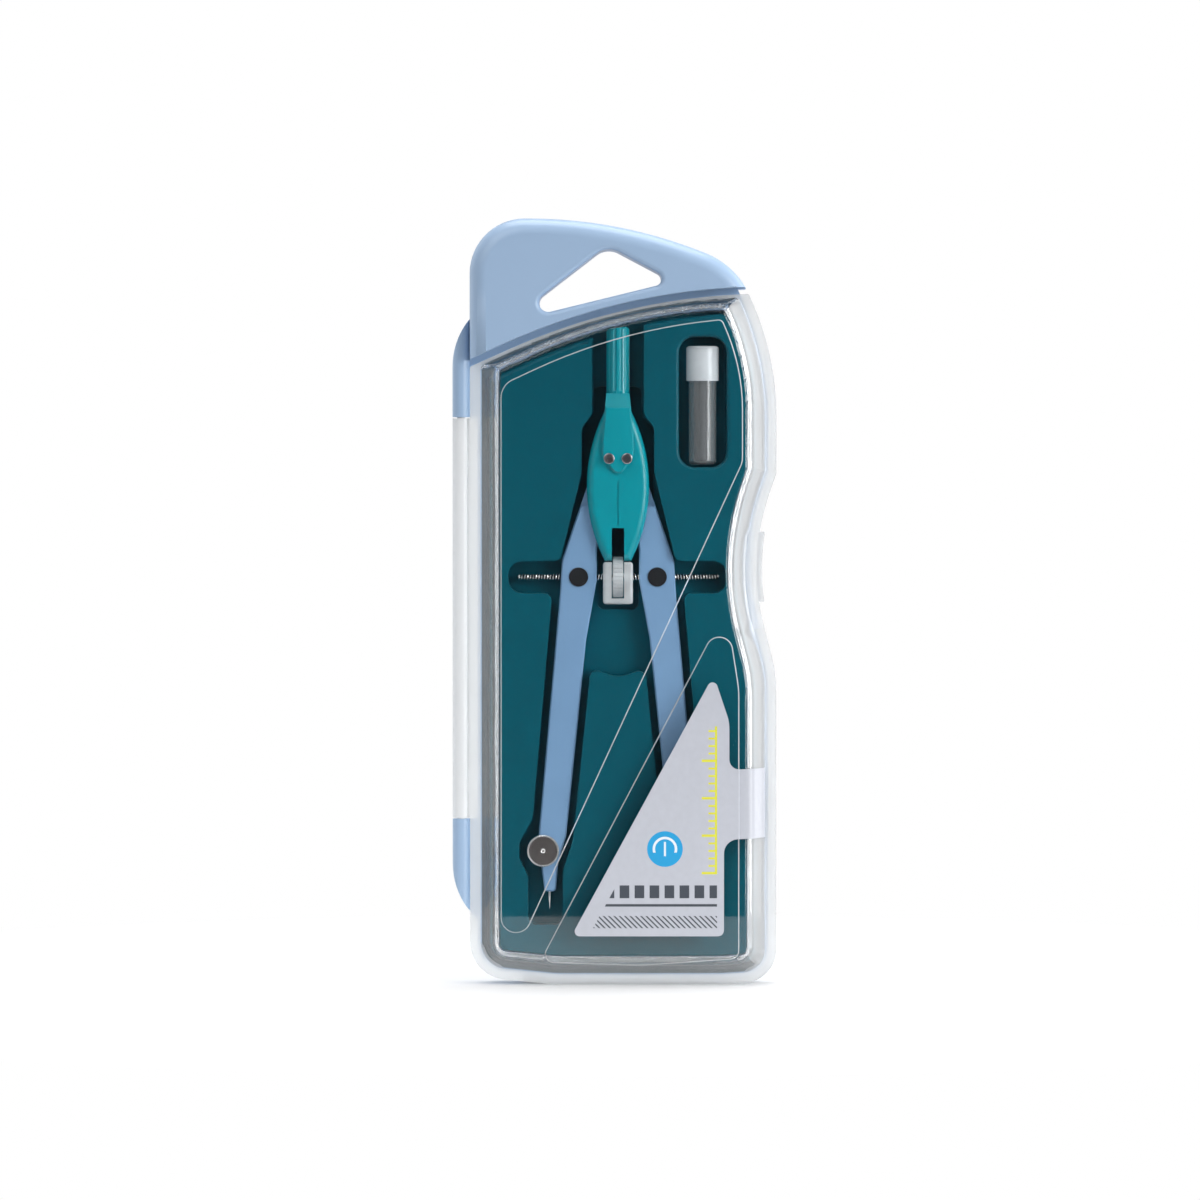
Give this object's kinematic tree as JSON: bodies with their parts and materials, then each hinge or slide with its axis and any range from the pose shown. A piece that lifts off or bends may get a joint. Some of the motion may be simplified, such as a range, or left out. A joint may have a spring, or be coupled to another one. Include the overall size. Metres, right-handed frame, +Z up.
{
  "type": "drafting instrument case",
  "caption": "Hinged upright plastic case with a carrying handle and clear domed lid, holding a screw-adjusted bow compass and a vial of leads in a recessed tray.",
  "frame": {"origin": "middle of the bounding box at the level the case stands on", "axes": "+X to the right of the closed lid, +Z up the standing case, +Y from the lid to the back"},
  "size_m": [0.091, 0.022, 0.2153],
  "materials": {
    "case_blue": "smooth light blue moulded plastic",
    "lid_clear": "crystal-clear polished moulded plastic",
    "label_silver": "satin silver printed sheet",
    "tray_teal": "deep teal moulded sheet with a soft sheen",
    "head_teal": "smooth teal moulded plastic",
    "screw_dark": "dull plated steel",
    "leg_blue": "satin light blue paint on cast metal",
    "nut_black": "blackened metal",
    "spindle_steel": "bright threaded steel",
    "frosted_plastic": "frosted translucent plastic",
    "bright_steel": "bright nickel plate",
    "needle_steel": "polished steel",
    "lead_graphite": "dark graphite",
    "vial_clear": "clear moulded plastic"
  },
  "bodies": {
    "case": {"base_shell": "case_blue", "insert_tray": "tray_teal", "grip_yoke": "head_teal", "head_front_shell": "head_teal", "head_rear_shell": "head_teal", "pivot_screws": "screw_dark", "lead_vial": "vial_clear", "vial_cap": "frosted_plastic", "spare_leads": "lead_graphite"},
    "lid": {"lid": "lid_clear", "lid_label": "label_silver"},
    "carrier": {"wheel_carrier": "frosted_plastic"},
    "spindle": {"spindle": "spindle_steel", "adjuster_wheel": "frosted_plastic"},
    "left_leg": {"left_leg": "leg_blue"},
    "right_leg": {"right_leg": "leg_blue"},
    "left_nut": {"left_nut": "nut_black"},
    "right_nut": {"right_nut": "nut_black"},
    "needle_screw": {"needle_clamp_screw": "bright_steel"},
    "lead_screw": {"lead_clamp_screw": "bright_steel"},
    "needle": {"needle": "needle_steel"},
    "lead": {"compass_lead": "lead_graphite"}
  },
  "joints": [
    {"name": "lid_hinge", "type": "hinge", "parent": "case", "child": "lid", "pos_m": [-0.0431, -0.00252, 0.1], "axis": [0, 0, -1], "range_deg": [0, 170]},
    {"name": "wheel_turn", "type": "hinge", "parent": "carrier", "child": "spindle", "pos_m": [0.001, -0.00112, 0.1147], "axis": [1, 0, 0], "range_deg": [-125, 245]},
    {"name": "carrier_slide", "type": "slide", "parent": "case", "child": "carrier", "axis": [0, 0, 1], "range_m": [-0.0001, 0.0002]},
    {"name": "left_leg_swing", "type": "hinge", "parent": "case", "child": "left_leg", "pos_m": [-0.00152, -0.00112, 0.148], "axis": [0, 1, 0], "range_deg": [-0.4, 0.8]},
    {"name": "right_leg_swing", "type": "hinge", "parent": "case", "child": "right_leg", "pos_m": [0.00352, -0.00112, 0.148], "axis": [0, -1, 0], "range_deg": [-0.45, 0.85]},
    {"name": "left_nut_swivel", "type": "hinge", "parent": "left_leg", "child": "left_nut", "pos_m": [-0.01005, -0.00112, 0.1147], "axis": [0, 1, 0], "range_deg": [-0.85, 0.45]},
    {"name": "right_nut_swivel", "type": "hinge", "parent": "right_leg", "child": "right_nut", "pos_m": [0.01205, -0.00112, 0.1147], "axis": [0, -1, 0], "range_deg": [-0.85, 0.45]},
    {"name": "needle_screw_turn", "type": "hinge", "parent": "left_leg", "child": "needle_screw", "pos_m": [-0.02, -0.00112, 0.0378], "axis": [0, -1, 0], "continuous": true},
    {"name": "lead_screw_turn", "type": "hinge", "parent": "right_leg", "child": "lead_screw", "pos_m": [0.022, -0.00112, 0.0378], "axis": [0, -1, 0], "continuous": true},
    {"name": "needle_slide", "type": "slide", "parent": "left_leg", "child": "needle", "axis": [0, 0, -1], "range_m": [0, 0.003]},
    {"name": "lead_slide", "type": "slide", "parent": "right_leg", "child": "lead", "axis": [0, 0, -1], "range_m": [0, 0.003]}
  ],
  "couplings": [
    {"joint": "wheel_turn", "follows": "left_leg_swing", "ratio": 298.9},
    {"joint": "carrier_slide", "follows": "left_leg_swing", "m_per_rad": 0.00853},
    {"joint": "right_leg_swing", "follows": "left_leg_swing", "ratio": 1},
    {"joint": "left_nut_swivel", "follows": "left_leg_swing", "ratio": -1},
    {"joint": "right_nut_swivel", "follows": "left_leg_swing", "ratio": -1}
  ]
}
